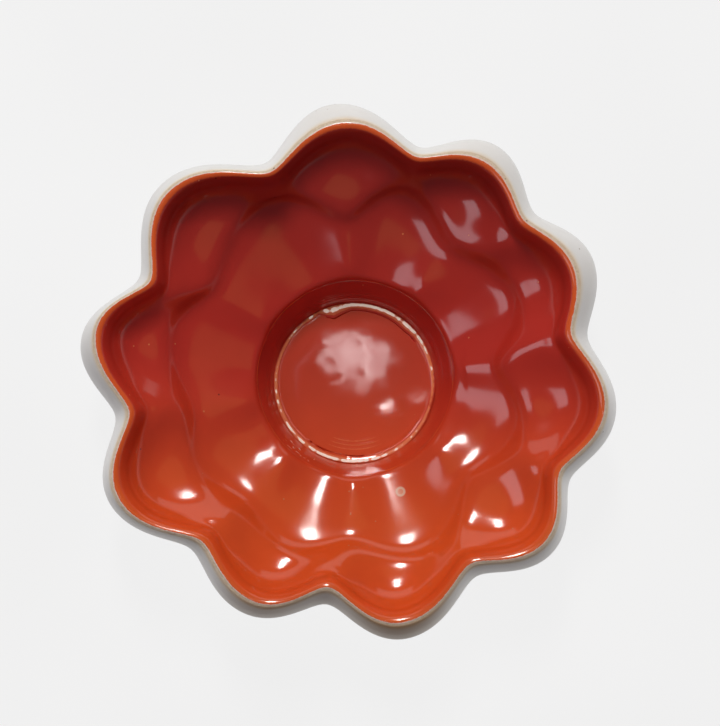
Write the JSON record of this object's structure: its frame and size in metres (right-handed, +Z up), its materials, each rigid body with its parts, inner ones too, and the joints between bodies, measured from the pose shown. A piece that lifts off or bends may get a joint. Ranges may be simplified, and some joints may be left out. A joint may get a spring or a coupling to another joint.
{
  "type": "ceramic mixing palette",
  "caption": "Flower-shaped ceramic mixing palette with two tiers of scalloped wells around a round rinsing well, orange glaze inside and white outside.",
  "frame": {"origin": "on the surface the foot stands on, in the middle of the outline's box", "axes": "+Z up out of the open mouth; +X to the right and +Y away from a painter looking down into it"},
  "size_m": [0.1902, 0.1909, 0.0541],
  "materials": {
    "bare_clay": "matte, unglazed",
    "orange_glaze": "high gloss",
    "white_glaze": "satin gloss",
    "base_white_glaze": "satin gloss",
    "pooled_glaze": "high gloss, flat"
  },
  "bodies": {
    "root": {"clay_body": "bare_clay", "interior_glaze": "orange_glaze", "exterior_glaze": "white_glaze", "base_glaze": "base_white_glaze", "well_glaze_pool": "pooled_glaze"}
  },
  "joints": []
}
